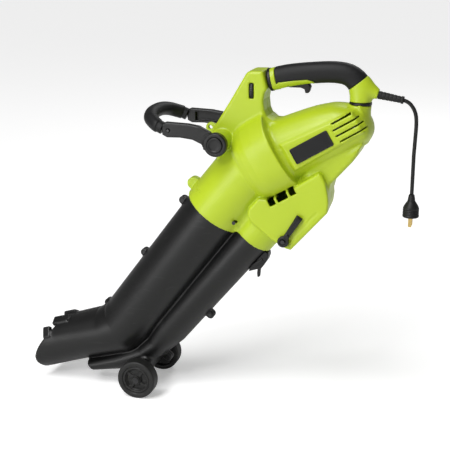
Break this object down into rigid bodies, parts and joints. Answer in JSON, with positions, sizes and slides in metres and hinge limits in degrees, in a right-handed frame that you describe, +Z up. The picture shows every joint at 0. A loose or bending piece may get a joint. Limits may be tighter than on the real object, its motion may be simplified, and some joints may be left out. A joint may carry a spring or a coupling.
{
  "type": "leaf vacuum mulcher",
  "caption": "Handheld electric leaf vacuum, blower and mulcher with twin black tubes on wheels, green motor housing, rear grip, tilting front handle and mode lever.",
  "frame": {"origin": "on the floor under the middle of the machine", "axes": "+Z up, -X the way the nozzle points, -Y the machine's left side"},
  "size_m": [0.7841, 0.172, 0.6775],
  "materials": {
    "green_plastic": "satin moulded",
    "black_plastic": "satin moulded",
    "wheel_plastic": "fine grain",
    "soft_grip": "soft matte",
    "cord_rubber": "matte",
    "badge_plastic": "satin",
    "steel": "zinc plated",
    "bracket_metal": "die cast",
    "laminations": "stacked sheet",
    "copper": "varnished",
    "brass": "plain",
    "carbon": "matt"
  },
  "bodies": {
    "root": {"housing_left": "green_plastic", "housing_right": "green_plastic", "pivot_bush": "black_plastic", "lever_bush_left": "black_plastic", "lever_bush_right": "black_plastic", "housing_screws": "steel", "fan_scroll": "black_plastic", "badge": "badge_plastic", "tube_left": "black_plastic", "tube_right": "black_plastic", "tube_screws": "steel", "bag_hook": "black_plastic", "axle": "steel", "axle_clips": "steel", "stator": "laminations", "field_coils": "copper", "motor_bulkhead": "black_plastic", "rear_bracket": "bracket_metal", "front_bearing": "steel", "rear_bearing": "steel", "brush_holders": "brass", "carbon_brushes": "carbon", "handle_shell_left": "green_plastic", "handle_shell_right": "green_plastic", "handle_grip": "soft_grip", "front_ring": "black_plastic", "rear_ring": "black_plastic", "handle_screws": "steel", "trigger_pin": "steel", "trigger_spring": "steel", "switch_module": "black_plastic", "speed_control": "steel", "strain_relief": "cord_rubber", "power_cord": "cord_rubber", "plug_body": "cord_rubber", "plug_blades": "brass"},
    "wheel_left": {"wheel_left": "wheel_plastic"},
    "wheel_right": {"wheel_right": "wheel_plastic"},
    "rotor": {"impeller": "black_plastic", "shredder_blade": "steel", "blade_nut": "steel", "motor_shaft": "steel", "armature": "laminations", "commutator": "copper", "cooling_fan": "black_plastic"},
    "trigger": {"trigger": "black_plastic"},
    "speed_wheel": {"speed_wheel": "black_plastic"},
    "mode_selector": {"mode_lever": "black_plastic", "lever_shaft": "steel", "diverter_flap": "black_plastic", "lever_screw": "steel"},
    "front_handle": {"front_arm_left": "black_plastic", "front_arm_right": "black_plastic", "front_grip": "soft_grip", "arm_screws": "steel", "pivot_bolt": "steel"},
    "tilt_button_left": {"tilt_button_left": "black_plastic"},
    "tilt_button_right": {"tilt_button_right": "black_plastic"}
  },
  "joints": [
    {"name": "wheel_left_spin", "type": "hinge", "parent": "root", "child": "wheel_left", "pos_m": [-0.0971, 0, 0.039], "axis": [0, 1, 0], "continuous": true},
    {"name": "wheel_right_spin", "type": "hinge", "parent": "root", "child": "wheel_right", "pos_m": [-0.0971, 0, 0.039], "axis": [0, 1, 0], "continuous": true},
    {"name": "rotor_spin", "type": "hinge", "parent": "root", "child": "rotor", "pos_m": [0.1805, 0, 0.5145], "axis": [0.8572, 0, 0.515], "continuous": true},
    {"name": "trigger_pull", "type": "hinge", "parent": "root", "child": "trigger", "pos_m": [0.1799, 0, 0.636], "axis": [0, -1, 0], "range_deg": [0, 6], "stiffness_Nm_per_rad": 0.8, "springref_deg": -6.88},
    {"name": "speed_turn", "type": "hinge", "parent": "root", "child": "speed_wheel", "pos_m": [0.1219, -0.005, 0.621], "axis": [1, 0, 0], "range_deg": [0, 270]},
    {"name": "mode_turn", "type": "hinge", "parent": "root", "child": "mode_selector", "pos_m": [0.1929, 0, 0.348], "axis": [0, -1, 0], "range_deg": [0, 75]},
    {"name": "handle_tilt", "type": "hinge", "parent": "root", "child": "front_handle", "pos_m": [0.0679, 0, 0.527], "axis": [0, 1, 0], "range_deg": [-40, 60]},
    {"name": "tilt_button_left_press", "type": "slide", "parent": "front_handle", "child": "tilt_button_left", "axis": [0, 1, 0], "range_m": [0, 0.0025], "stiffness_N_per_m": 800, "springref_m": -0.002},
    {"name": "tilt_button_right_press", "type": "slide", "parent": "front_handle", "child": "tilt_button_right", "axis": [0, -1, 0], "range_m": [0, 0.0025], "stiffness_N_per_m": 800, "springref_m": -0.002}
  ]
}
